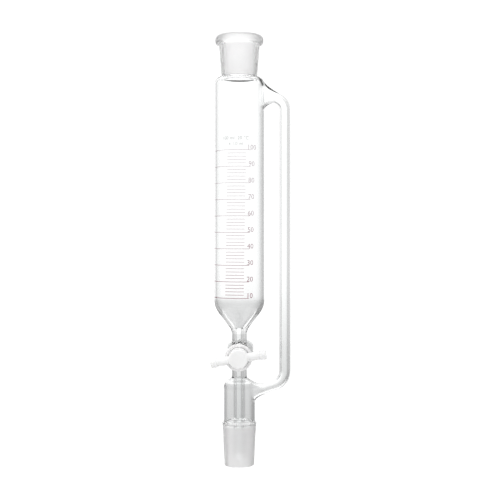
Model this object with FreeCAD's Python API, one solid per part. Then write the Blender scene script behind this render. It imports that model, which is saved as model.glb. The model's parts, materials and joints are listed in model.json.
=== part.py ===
"""Pressure-equalising dropping funnel, 100 ml, with 24/29 ground joints and a PTFE key stopcock.

Millimetres. The origin is the centre of the lower cone's tip, +Z runs up the funnel's axis, the side arm
is on +X and the stopcock's handle on -Y. Each piece of glass is a solid of its own that meets its
neighbours face to face, as the glassblower's seams do.
"""
import FreeCAD, Part
import math
import os

from FreeCAD import Vector

# Ground joints: a cone or socket narrows by 1 mm in diameter for each 10 mm of length.
JOINT_LARGE_R = 12.0
JOINT_LENGTH = 29.0
JOINT_SLOPE = 0.05
JOINT_SMALL_R = JOINT_LARGE_R - JOINT_SLOPE * JOINT_LENGTH

# Heights of the seams and of the stopcock above the cone's tip.
COLLAR_TOP_Z = 32.0
RING_SEAL_Z = 64.0
STOPCOCK_Z = 79.4
STEM_TOP_Z = 95.0
NECK_Z = 280.2
RIM_Z = 309.5

# Radii of the tubes.
RESERVOIR_R = 18.0
RESERVOIR_WALL = 1.7
STEM_R = 5.4
STEM_BORE_R = 2.25
DRIP_TUBE_R = 4.25
CHAMBER_R = 11.2
CHAMBER_WALL = 1.6
RING_SEAL_DEPTH = 1.2
ARM_R = 4.0
ARM_BORE_R = 2.6

# Socket's rim and the cone's collar.
RIM_R = 17.3
RIM_HEIGHT = 5.4
RIM_ROUNDING = 2.5
SOCKET_TOP_R = 14.7
SOCKET_BASE_R = 12.9
COLLAR_R = 12.25
CONE_WALL = 1.7

# Reservoir's floor and shoulder, as corners before rounding.
FLOOR_EDGE_Z = 114.2
FLOOR_EDGE_ROUNDING = 15.3
FLOOR_THROAT_Z = 97.6
SHOULDER_EDGE_Z = 279.6
SHOULDER_ROUNDING = 5.0

# Side arm: its centre line in the XZ plane.
ARM_X = 32.9
ARM_TOP_FALL = math.radians(31.5)
ARM_TOP_CORNER_Z = 261.0
ARM_TOP_BEND_R = 8.0
ARM_FOOT_FALL = math.radians(17.5)
ARM_FOOT_BEND_R = 11.0
ARM_FOOT_BEND_Z = 68.0
ARM_TOP_SEAM_X = 27.0
ARM_FOOT_SEAM_X = 17.4
PORT_INSET = 4.0
PORT_FLARE = 2.5

# Stopcock, along Y: a barrel and a key that narrow by 1 mm in diameter for each 5 mm of length.
BARREL_HALF = 17.0
BARREL_FRONT_R = 9.8
BARREL_BACK_R = 7.6
BARREL_EDGE = 0.8
BARREL_FLARE = 1.6
KEY_FRONT_R = 7.25
KEY_SLOPE = 0.1
KEY_CLEARANCE = 0.05
KEY_BORE_R = 2.0
KEY_SHOULDER_Y = 16.0
HUB_BACK_Y = -18.0
HUB_FRONT_Y = -26.0
HUB_R = 6.8
HUB_EDGE = 1.0
HANDLE_Y = -22.2
HANDLE_HALF = 19.8
HANDLE_R = 3.0
HANDLE_TIP_R = 3.5
HANDLE_TIP_LENGTH = 5.0
HANDLE_EDGE = 1.2
HANDLE_TILT = 9.5

# Tail of the key with its seal, and the nut that holds the key in.
TAIL_R = 3.5
TAIL_END_Y = 31.5
TAIL_CLEARANCE = 0.06
WASHER_R = 7.2
WASHER_THICKNESS = 1.2
O_RING_SECTION_R = 1.1
NUT_HEIGHT = 8.0
NUT_ACROSS_FLATS = 19.3
NUT_CHAMFER_R = 10.6
NUT_CORNER_FALL = 30.0

# Two solids count as touching at a point within this distance.
TOUCH = 0.001

X_AXIS = Vector(1, 0, 0)
Y_AXIS = Vector(0, 1, 0)
Z_AXIS = Vector(0, 0, 1)
ORIGIN = Vector(0, 0, 0)
STOPCOCK_CENTRE = Vector(0, 0, STOPCOCK_Z)


def rounding(before, corner, after, radius):
    """Start, middle and end of the arc that rounds a corner between two straight runs."""
    to_before = (before - corner).normalize()
    to_after = (after - corner).normalize()
    half_angle = to_before.getAngle(to_after) / 2
    reach = radius / math.tan(half_angle)
    bisector = (to_before + to_after).normalize()
    nearest = radius / math.sin(half_angle) - radius
    return corner + to_before * reach, corner + bisector * nearest, corner + to_after * reach


def outline(corners):
    """Closed wire in the XZ plane through corners (x, z) or (x, z, rounding radius)."""
    points = [Vector(corner[0], 0, corner[1]) for corner in corners]
    radii = [corner[2] if len(corner) > 2 else 0 for corner in corners]
    entries, exits, arcs = [], [], []
    for i, point in enumerate(points):
        after = points[(i + 1) % len(points)]
        if radii[i]:
            start, middle, end = rounding(points[i - 1], point, after, radii[i])
            arcs.append(Part.Arc(start, middle, end).toShape())
        else:
            start = end = point
            arcs.append(None)
        entries.append(start)
        exits.append(end)
    edges = []
    for i, arc in enumerate(arcs):
        if arc:
            edges.append(arc)
        edges.append(Part.LineSegment(exits[i], entries[(i + 1) % len(points)]).toShape())
    return Part.Wire(edges)


def lathe(corners):
    """Solid of revolution about Z of a closed outline, with its seam on -X, clear of the side arm."""
    solid = Part.Face(outline(corners)).revolve(ORIGIN, Z_AXIS, 360)
    solid.rotate(ORIGIN, Z_AXIS, 180)
    return solid


def along_y(shape):
    """Lay a shape made about Z along +Y through the stopcock's centre."""
    shape.rotate(ORIGIN, X_AXIS, -90)
    shape.translate(STOPCOCK_CENTRE)
    return shape


def flared(first, second, radius):
    """Union of two solids, with the edges where they meet filled out to a radius."""
    union = first.fuse(second)
    seams = []
    for edge in union.Edges:
        span = edge.LastParameter - edge.FirstParameter
        points = [edge.valueAt(edge.FirstParameter + share * span) for share in (0.25, 0.5, 0.75)]
        gaps = [solid.distToShape(Part.Vertex(point))[0] for solid in (first, second) for point in points]
        if max(gaps) < TOUCH:
            seams.append(edge)
    return union.makeFillet(radius, seams)


def joint_radius(above_small_end):
    """Ground surface's radius at a distance from the joint's small end."""
    return JOINT_SMALL_R + JOINT_SLOPE * above_small_end


def reservoir_outer():
    """Corners of the reservoir's outside, from its throat to its neck."""
    return [
        (STEM_R, STEM_TOP_Z),
        (STEM_R, FLOOR_THROAT_Z, 8.0),
        (RESERVOIR_R, FLOOR_EDGE_Z, FLOOR_EDGE_ROUNDING),
        (RESERVOIR_R, SHOULDER_EDGE_Z, SHOULDER_ROUNDING),
        (SOCKET_BASE_R, NECK_Z),
    ]


def reservoir_inner():
    """Corners of the reservoir's inside, from its neck down to its throat."""
    inner_r = RESERVOIR_R - RESERVOIR_WALL
    return [
        (JOINT_SMALL_R, NECK_Z),
        (JOINT_SMALL_R, NECK_Z - 1.7, 0.8),
        (inner_r, SHOULDER_EDGE_Z - 1.5, SHOULDER_ROUNDING - RESERVOIR_WALL),
        (inner_r, FLOOR_EDGE_Z + 0.9, FLOOR_EDGE_ROUNDING - RESERVOIR_WALL),
        (STEM_BORE_R, FLOOR_THROAT_Z - 1.0),
        (STEM_BORE_R, STEM_TOP_Z),
    ]


def chamber_outer():
    """Corners of the drip chamber's outside, from the cone's collar to the ring seal."""
    return [
        (CHAMBER_R, COLLAR_TOP_Z),
        (CHAMBER_R, RING_SEAL_Z - 4.8, 6.0),
        (STEM_R, RING_SEAL_Z),
    ]


def chamber_inner():
    """Corners of the drip chamber's inside, from the drip tube down to the collar."""
    inner_r = CHAMBER_R - CHAMBER_WALL
    return [
        (DRIP_TUBE_R, RING_SEAL_Z),
        (DRIP_TUBE_R, RING_SEAL_Z - RING_SEAL_DEPTH),
        (inner_r, RING_SEAL_Z - 5.4, 3.6),
        (inner_r, COLLAR_TOP_Z),
    ]


def filled(line):
    """Solid of revolution between a line of corners and the axis."""
    return lathe(line + [(0, line[-1][1]), (0, line[0][1])])


def arm_path():
    """Side arm's centre line, as a wire, and the place and outward direction of its two seams."""
    top_way = Vector(math.cos(ARM_TOP_FALL), 0, -math.sin(ARM_TOP_FALL))
    foot_way = Vector(math.cos(ARM_FOOT_FALL), 0, math.sin(ARM_FOOT_FALL))
    foot_turn = math.pi / 2 - ARM_FOOT_FALL
    top_corner = Vector(ARM_X, 0, ARM_TOP_CORNER_Z)
    foot_corner = Vector(ARM_X, 0, ARM_FOOT_BEND_Z - ARM_FOOT_BEND_R * math.tan(foot_turn / 2))
    top_seam = top_corner - top_way * ((ARM_X - ARM_TOP_SEAM_X) / top_way.x)
    foot_seam = foot_corner - foot_way * ((ARM_X - ARM_FOOT_SEAM_X) / foot_way.x)
    top_bend = rounding(top_seam, top_corner, foot_corner, ARM_TOP_BEND_R)
    foot_bend = rounding(top_corner, foot_corner, foot_seam, ARM_FOOT_BEND_R)
    wire = Part.Wire([
        Part.LineSegment(top_seam, top_bend[0]).toShape(),
        Part.Arc(*top_bend).toShape(),
        Part.LineSegment(top_bend[2], foot_bend[0]).toShape(),
        Part.Arc(*foot_bend).toShape(),
        Part.LineSegment(foot_bend[2], foot_seam).toShape(),
    ])
    return wire, (top_seam, top_way), (foot_seam, foot_way)


def with_port(outer, inner, seam, way):
    """A vessel's glass between two lines of corners, with a port that ends at the side arm's seam."""
    wall_r = max(corner[0] for corner in outer)
    length = (seam.x - wall_r + PORT_INSET) / way.x
    start = seam - way * length
    glass = flared(filled(outer), Part.makeCylinder(ARM_R, length, start, way), PORT_FLARE)
    bore = Part.makeCylinder(ARM_BORE_R, length, start, way)
    return glass.cut(filled(inner)).cut(bore)


def swept(path, start, way, radius):
    """Solid round bar of one radius along a path."""
    section = Part.Wire(Part.makeCircle(radius, start, way))
    return path.makePipeShell([section], True, True)


def socket_joint():
    """Ground socket with its thickened rim."""
    rim_base_z = RIM_Z - RIM_HEIGHT
    return lathe([
        (SOCKET_BASE_R, NECK_Z),
        (SOCKET_TOP_R, rim_base_z - 1.2, 2.0),
        (RIM_R, rim_base_z, RIM_ROUNDING),
        (RIM_R, RIM_Z, RIM_ROUNDING),
        (JOINT_LARGE_R, RIM_Z, 0.4),
        (JOINT_SMALL_R, RIM_Z - JOINT_LENGTH),
        (JOINT_SMALL_R, NECK_Z),
    ])


def reservoir():
    """Graduated cylinder with its shoulder, conical floor and the port for the side arm."""
    _, (seam, way), _ = arm_path()
    return with_port(reservoir_outer(), reservoir_inner(), seam, way)


def stopcock_barrel():
    """Glass barrel across the stem, with the stem's two ends."""
    length = 2 * BARREL_HALF
    body = along_y(lathe([
        (0, -BARREL_HALF),
        (BARREL_FRONT_R, -BARREL_HALF, BARREL_EDGE),
        (BARREL_BACK_R, BARREL_HALF, BARREL_EDGE),
        (0, BARREL_HALF),
    ]))
    stem = Part.makeCylinder(STEM_R, STEM_TOP_Z - RING_SEAL_Z, Vector(0, 0, RING_SEAL_Z))
    glass = flared(body, stem, BARREL_FLARE)
    socket = along_y(Part.makeCone(KEY_FRONT_R, KEY_FRONT_R - KEY_SLOPE * length, length,
                                   Vector(0, 0, -BARREL_HALF)))
    bore = Part.makeCylinder(STEM_BORE_R, STEM_TOP_Z - RING_SEAL_Z, Vector(0, 0, RING_SEAL_Z))
    return glass.cut(socket).cut(bore)


def drip_tube():
    """Narrow tube inside the chamber and the cone, drawn in at its tip."""
    tip_z = 3.0
    return lathe([
        (STEM_BORE_R, tip_z),
        (DRIP_TUBE_R - 1.0, tip_z, 0.3),
        (DRIP_TUBE_R, tip_z + 6.0, 3.0),
        (DRIP_TUBE_R, RING_SEAL_Z),
        (STEM_BORE_R, RING_SEAL_Z),
    ])


def drip_chamber():
    """Wider tube and dome round the drip tube, with the port for the side arm."""
    _, _, (seam, way) = arm_path()
    return with_port(chamber_outer(), chamber_inner(), seam, way)


def cone_joint():
    """Ground cone with the collar above its ground zone."""
    return lathe([
        (JOINT_SMALL_R, 0, 0.4),
        (joint_radius(JOINT_LENGTH), JOINT_LENGTH),
        (COLLAR_R, JOINT_LENGTH + 0.5, 0.3),
        (COLLAR_R, JOINT_LENGTH + 1.6, 0.8),
        (CHAMBER_R, COLLAR_TOP_Z),
        (CHAMBER_R - CHAMBER_WALL, COLLAR_TOP_Z),
        (JOINT_SMALL_R - CONE_WALL, 0),
    ])


def side_arm():
    """Bent tube that lets gas past the liquid."""
    path, (start, way), _ = arm_path()
    return swept(path, start, way, ARM_R).cut(swept(path, start, way, ARM_BORE_R))


def stopcock_key():
    """Tapered plug with its cross bore, T-handle and threaded tail, moulded in one piece."""
    plug = along_y(lathe([
        (0, HUB_FRONT_Y),
        (HUB_R, HUB_FRONT_Y, HUB_EDGE),
        (HUB_R, HUB_BACK_Y),
        (key_radius(HUB_BACK_Y), HUB_BACK_Y),
        (key_radius(KEY_SHOULDER_Y), KEY_SHOULDER_Y, 0.3),
        (TAIL_R, KEY_SHOULDER_Y),
        (TAIL_R, TAIL_END_Y, 0.6),
        (0, TAIL_END_Y),
    ]))
    tip_start = HANDLE_HALF - HANDLE_TIP_LENGTH
    handle = lathe([
        (0, -HANDLE_HALF),
        (HANDLE_TIP_R, -HANDLE_HALF, HANDLE_EDGE),
        (HANDLE_TIP_R, -tip_start, 0.25),
        (HANDLE_R, -tip_start + 0.6),
        (HANDLE_R, tip_start - 0.6),
        (HANDLE_TIP_R, tip_start, 0.25),
        (HANDLE_TIP_R, HANDLE_HALF, HANDLE_EDGE),
        (0, HANDLE_HALF),
    ])
    handle.rotate(ORIGIN, Y_AXIS, 90)
    handle.translate(STOPCOCK_CENTRE + Y_AXIS * HANDLE_Y)
    bore_start = STOPCOCK_CENTRE - X_AXIS * KEY_FRONT_R
    bore = Part.makeCylinder(KEY_BORE_R, 2 * KEY_FRONT_R, bore_start, X_AXIS)
    key = plug.fuse(handle).removeSplitter().cut(bore)
    key.rotate(STOPCOCK_CENTRE, Y_AXIS, -HANDLE_TILT)
    return key


def key_radius(y):
    """Radius of the key's taper at a place along the barrel."""
    return KEY_FRONT_R - KEY_CLEARANCE - KEY_SLOPE * (y + BARREL_HALF)


def seal_washer():
    """Flat washer between the barrel's back and the O-ring."""
    hole_r = TAIL_R + TAIL_CLEARANCE
    return along_y(lathe([
        (hole_r, BARREL_HALF),
        (WASHER_R, BARREL_HALF, 0.2),
        (WASHER_R, BARREL_HALF + WASHER_THICKNESS, 0.2),
        (hole_r, BARREL_HALF + WASHER_THICKNESS),
    ]))


def seal_o_ring():
    """Rubber ring that the nut presses on the washer."""
    ring_r = TAIL_R + TAIL_CLEARANCE + O_RING_SECTION_R
    middle_y = BARREL_HALF + WASHER_THICKNESS + O_RING_SECTION_R
    return along_y(Part.makeTorus(ring_r, O_RING_SECTION_R, Vector(0, 0, middle_y)))


def key_nut():
    """Six-sided nut on the key's tail, with its edges turned off round."""
    front_y = BARREL_HALF + WASHER_THICKNESS + 2 * O_RING_SECTION_R
    back_y = front_y + NUT_HEIGHT
    corner_r = NUT_ACROSS_FLATS / math.sqrt(3)
    angles = [math.radians(NUT_CORNER_FALL + 60 * i) for i in range(7)]
    corners = [Vector(corner_r * math.cos(a), corner_r * math.sin(a), front_y) for a in angles]
    hexagon = Part.Face(Part.makePolygon(corners)).extrude(Z_AXIS * NUT_HEIGHT)
    turned = lathe([
        (0, front_y),
        (NUT_CHAMFER_R - 1.0, front_y),
        (NUT_CHAMFER_R, front_y + 1.0),
        (NUT_CHAMFER_R, back_y - 1.0, 0.6),
        (NUT_CHAMFER_R - 1.4, back_y, 0.6),
        (0, back_y),
    ])
    hole = Part.makeCylinder(TAIL_R + TAIL_CLEARANCE, NUT_HEIGHT, Vector(0, 0, front_y))
    return along_y(hexagon.common(turned).cut(hole))


def checked(name, shape):
    """One valid closed solid, or an error that names the piece."""
    if len(shape.Solids) != 1 or not shape.isValid():
        raise RuntimeError(f"{name}: {len(shape.Solids)} solids, valid {shape.isValid()}")
    return shape.Solids[0]


PIECES = {
    "socket_joint": socket_joint,
    "reservoir": reservoir,
    "stopcock_barrel": stopcock_barrel,
    "drip_tube": drip_tube,
    "drip_chamber": drip_chamber,
    "cone_joint": cone_joint,
    "side_arm": side_arm,
    "stopcock_key": stopcock_key,
    "seal_washer": seal_washer,
    "seal_o_ring": seal_o_ring,
    "key_nut": key_nut,
}

os.makedirs("parts", exist_ok=True)
for name, build in PIECES.items():
    solid = checked(name, build())
    solid.exportStep(f"parts/{name}.step")
    print(f"{name}: {solid.Volume / 1000:.2f} cm3")
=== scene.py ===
"""Looks of a pressure-equalising dropping funnel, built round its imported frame.

Shapes are worked out in millimetres in the frame's own axes and become metres when a mesh is made. Every
glass piece is one closed mesh with an outer and an inner surface.
"""
import json
import math

import bmesh
import bpy
import numpy as np
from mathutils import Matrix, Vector


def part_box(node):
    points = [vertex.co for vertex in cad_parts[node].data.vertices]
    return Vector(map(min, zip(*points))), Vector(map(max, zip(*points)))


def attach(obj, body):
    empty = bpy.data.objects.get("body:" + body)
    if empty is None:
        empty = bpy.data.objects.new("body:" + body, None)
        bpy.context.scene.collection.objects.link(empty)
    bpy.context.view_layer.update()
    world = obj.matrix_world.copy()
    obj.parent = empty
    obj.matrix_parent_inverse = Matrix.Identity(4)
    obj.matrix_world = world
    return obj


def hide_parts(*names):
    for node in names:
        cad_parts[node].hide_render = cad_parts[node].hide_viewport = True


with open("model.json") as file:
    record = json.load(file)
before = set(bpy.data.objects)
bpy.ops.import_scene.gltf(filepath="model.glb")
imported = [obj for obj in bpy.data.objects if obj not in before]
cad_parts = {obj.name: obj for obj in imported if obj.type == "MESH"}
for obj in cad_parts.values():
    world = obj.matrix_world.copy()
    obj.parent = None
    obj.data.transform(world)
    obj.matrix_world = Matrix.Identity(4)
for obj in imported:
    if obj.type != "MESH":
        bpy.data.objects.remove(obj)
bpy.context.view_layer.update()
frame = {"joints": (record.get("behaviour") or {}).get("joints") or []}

MM = 0.001


def box_mm(node):
    """Lowest and highest corner of a CAD node, in millimetres."""
    low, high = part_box(node)
    return np.array(low) / MM, np.array(high) / MM


def joint_mm(name):
    """A hinge's place, in millimetres."""
    return next(np.array(j["pos_m"]) / MM for j in frame["joints"] if j["name"] == name)


# Sizes that the frame gives.
SOCKET_LOW, SOCKET_HIGH = box_mm("socket_joint")
RESERVOIR_LOW, RESERVOIR_HIGH = box_mm("reservoir")
BARREL_LOW, BARREL_HIGH = box_mm("stopcock_barrel")
DRIP_LOW, DRIP_HIGH = box_mm("drip_tube")
CHAMBER_LOW, CHAMBER_HIGH = box_mm("drip_chamber")
CONE_HIGH = box_mm("cone_joint")[1]
ARM_HIGH = box_mm("side_arm")[1]
KEY_LOW, KEY_HIGH = box_mm("stopcock_key")
WASHER_LOW, WASHER_HIGH = box_mm("seal_washer")
O_RING_LOW, O_RING_HIGH = box_mm("seal_o_ring")
NUT_LOW, NUT_HIGH = box_mm("key_nut")
STOPCOCK_CENTRE = joint_mm("key_turn")

NECK_Z = SOCKET_LOW[2]
RIM_Z = SOCKET_HIGH[2]
RIM_R = SOCKET_HIGH[1]
STEM_TOP_Z = RESERVOIR_LOW[2]
RESERVOIR_R = RESERVOIR_HIGH[1]
RING_SEAL_Z = CHAMBER_HIGH[2]
COLLAR_TOP_Z = CHAMBER_LOW[2]
CHAMBER_R = CHAMBER_HIGH[1]
COLLAR_R = CONE_HIGH[1]
DRIP_R = DRIP_HIGH[1]
ARM_R = ARM_HIGH[1]
ARM_X = ARM_HIGH[0] - ARM_R

# Wall thicknesses, bores and roundings.
JOINT_LENGTH = 29.0
JOINT_LARGE_R = 12.0
JOINT_SMALL_R = 10.55
SOCKET_BASE_R = 12.9
SOCKET_TOP_R = 14.7
RIM_HEIGHT = 5.4
RIM_ROUNDING = 2.5
RIM_NECK = 1.2
RIM_MOUTH = 0.6
NECK_SLOPE = 0.2
RESERVOIR_WALL = 1.7
CHAMBER_WALL = 1.6
CONE_WALL = 1.7
RING_SEAL_DEPTH = 1.2
STEM_R = 5.4
STEM_BORE_R = 2.25
ARM_BORE_R = 2.6
BARREL_FRONT_R = 9.8
BARREL_BACK_R = 7.6
BARREL_EDGE = 0.8
BARREL_FACE = 0.6
STEM_FOOT = 1.0
STEM_FOOT_REACH = 11.2
KEY_FRONT_R = 7.25
KEY_SLOPE = 0.1
KEY_CLEARANCE = 0.05
TAIL_R = 3.5
TAIL_CLEARANCE = 0.06
THREAD_PITCH = 1.5
THREAD_DEPTH = 0.7
KEY_SHOULDER_Y = 16.0
KEY_BORE_R = 2.0
HUB_BACK_Y = -18.0
HUB_R = 6.8
HANDLE_Y = -22.2
HANDLE_HALF = 19.8
HANDLE_R = 3.0
HANDLE_TIP_R = 3.5
HANDLE_TIP_LENGTH = 5.0
HANDLE_EDGE = 1.2
HANDLE_ROOT = 9.0
HANDLE_FOOT = 0.35
HANDLE_TILT = math.radians(9.5)
NUT_ACROSS_FLATS = 19.3
NUT_CHAMFER_R = 10.6
NUT_CORNER_FALL = math.radians(30)

# Heights on the reservoir, as corners before rounding.
FLOOR_THROAT_Z = 97.6
FLOOR_THROAT_ROUNDING = 8.0
FLOOR_INNER_THROAT_Z = 99.2
FLOOR_EDGE_Z = 114.2
FLOOR_EDGE_ROUNDING = 15.3
SHOULDER_EDGE_Z = 279.6
SHOULDER_ROUNDING = 5.0

# Faces in this slot close a wall where it is fused to the next piece. They only serve to turn the normals
# outwards and are then removed, so that the glass goes on through the seam.
FUSED = 9

# Side arm's centre line.
ARM_TOP_FALL = math.radians(31.5)
ARM_TOP_CORNER_Z = 261.0
ARM_TOP_BEND_R = 8.0
ARM_TOP_SEAM_X = 27.0
ARM_FOOT_FALL = math.radians(17.5)
ARM_FOOT_BEND_R = 11.0
ARM_FOOT_BEND_Z = 68.0
ARM_FOOT_SEAM_X = 17.4

# Largest turn between two points of an arc.
ARC_STEP = math.radians(8)

# Print on the reservoir, in millimetres along its outside.
PRINT_MIDDLE_Z = 173.5
PRINT_LEAN = math.radians(1.0)
PRINT_TILT = math.radians(0.3)
PRINT_GAP = 0.02
PRINT_THICKNESS = 0.03
LINE_WIDTH = 0.32
SCALE_TOP_Z = 226.15
SCALE_PITCH = 11.65
LONG_LINE = (-25.0, 8.2)
SHORT_LINE = (-9.1, 4.5)
NUMBER_U = 8.9
NUMBER_SIZE = 5.0
NUMBER_RISE = 0.3
CAPACITY_PLACE = (-3.6, 233.3)
CAPACITY_SIZE = 3.5
TOLERANCE_PLACE = (-3.0, 229.4)
TOLERANCE_SIZE = 3.2
LINE_STEP = 0.7
LETTER_STEP = 0.5

GLASS_IOR = 1.473


# --- Lines, surfaces and meshes -------------------------------------------------------------------------

def unit(vector):
    vector = np.asarray(vector, float)
    return vector / np.linalg.norm(vector)


def rounded_corner(before, corner, after, radius):
    """Points of the arc that rounds a corner between two straight runs."""
    to_before, to_after = unit(before - corner), unit(after - corner)
    half = math.acos(np.clip(to_before @ to_after, -1, 1)) / 2
    centre = corner + unit(to_before + to_after) * radius / math.sin(half)
    start = corner + to_before * radius / math.tan(half) - centre
    turn = math.pi - 2 * half
    steps = max(3, math.ceil(turn / ARC_STEP))
    side = unit(-to_before)
    return [centre + start * math.cos(turn * k / steps) + side * radius * math.sin(turn * k / steps)
            for k in range(steps + 1)]


def lengths_along(line):
    """Length along a line of points, at each point."""
    return np.concatenate(([0], np.cumsum(np.linalg.norm(np.diff(line, axis=0), axis=1))))


def line_through(corners):
    """Points through corners (r, h, rounding, steps of the run that follows), and each corner's index."""
    arcs = []
    for i, (r, h, rounding, _) in enumerate(corners):
        corner = np.array((r, h), float)
        if rounding:
            before, after = (np.array(corners[k][:2], float) for k in (i - 1, i + 1))
            arcs.append(rounded_corner(before, corner, after, rounding))
        else:
            arcs.append([corner])
    points, marks = [], []
    for i, arc in enumerate(arcs):
        marks.append(len(points))
        points += arc
        if i + 1 < len(arcs):
            start, end, steps = arc[-1], arcs[i + 1][0], corners[i][3]
            points += [start + (end - start) * k / steps for k in range(1, steps)]
    return np.array(points), marks


class Shell:
    """Points and faces of one mesh as it grows, in millimetres."""

    def __init__(self):
        self.points = []
        self.faces = []
        self.slots = []

    def add(self, points):
        """Indices of new points."""
        first = len(self.points)
        self.points += [np.asarray(point, float) for point in points]
        return list(range(first, len(self.points)))

    def face(self, corners, slot=0):
        self.faces.append(corners)
        self.slots.append(slot)

    def bridge(self, first, second, slot=0):
        """Four-sided faces between two closed loops with the same number of points."""
        for k in range(len(first)):
            after = (k + 1) % len(first)
            self.face((first[k], first[after], second[after], second[k]), slot)

    def cap(self, loop, slot=0):
        """Close a loop with triangles round its middle."""
        middle = self.add([np.mean([self.points[k] for k in loop], axis=0)])[0]
        for k in range(len(loop)):
            self.face((loop[k], loop[(k + 1) % len(loop)], middle), slot)

    def made(self, name, body, materials, replaces=(), crease=35):
        """The finished object: normals outwards, smooth except at creases, riding on its body."""
        mesh = bpy.data.meshes.new(name)
        mesh.from_pydata([tuple(point * MM) for point in self.points], [], self.faces)
        mesh.polygons.foreach_set("material_index", self.slots)
        work = bmesh.new()
        work.from_mesh(mesh)
        bmesh.ops.recalc_face_normals(work, faces=work.faces)
        fused = [face for face in work.faces if face.material_index == FUSED]
        bmesh.ops.delete(work, geom=fused, context="FACES_ONLY")
        work.to_mesh(mesh)
        work.free()
        mesh.polygons.foreach_set("use_smooth", [True] * len(mesh.polygons))
        mesh.set_sharp_from_angle(angle=math.radians(crease))
        for material in materials:
            mesh.materials.append(material)
        piece = bpy.data.objects.new(name, mesh)
        bpy.context.scene.collection.objects.link(piece)
        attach(piece, body)
        if replaces:
            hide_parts(*replaces)
        return piece


class Axis:
    """A line to turn shapes about: its origin, direction and the direction of angle 0."""

    def __init__(self, origin, along, zero):
        self.origin = np.asarray(origin, float)
        self.along = unit(along)
        self.zero = unit(zero)
        self.quarter = np.cross(self.along, self.zero)

    def point(self, angle, r, h):
        """Place at an angle, a distance from the axis and a height along it."""
        out = self.zero * math.cos(angle) + self.quarter * math.sin(angle)
        return self.origin + self.along * h + out * r


UPRIGHT = Axis((0, 0, 0), (0, 0, 1), (1, 0, 0))
ACROSS = Axis(STOPCOCK_CENTRE, (0, 1, 0), (0, 0, 1))


class Port:
    """Where a tube leaves a turned surface.

    angle: middle of the patch of the surface that the port takes. columns: the patch's half width, in
    columns. rows: its first and last row.
    foot: where the tube's foot lies, as middle and half height along the line and half width in radians.
    ring: the tube's end, as centre, direction and radius. pull: how far the foot's and the end's tangents
    reach, as shares of the way between them. far_pull: the same on the side further along the line.
    tail: further rings, as (distance, radius).
    """

    def __init__(self, angle, columns, rows, foot, ring, pull, far_pull=None, steps=10, tail=()):
        self.angle = angle
        self.columns = columns
        self.rows = rows
        self.foot = foot
        self.centre, self.way, self.radius = np.asarray(ring[0], float), unit(ring[1]), ring[2]
        self.pull = np.array(pull, float)
        self.far_pull = np.array(far_pull or pull, float)
        self.steps = steps
        self.tail = tail
        self.end = None


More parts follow.
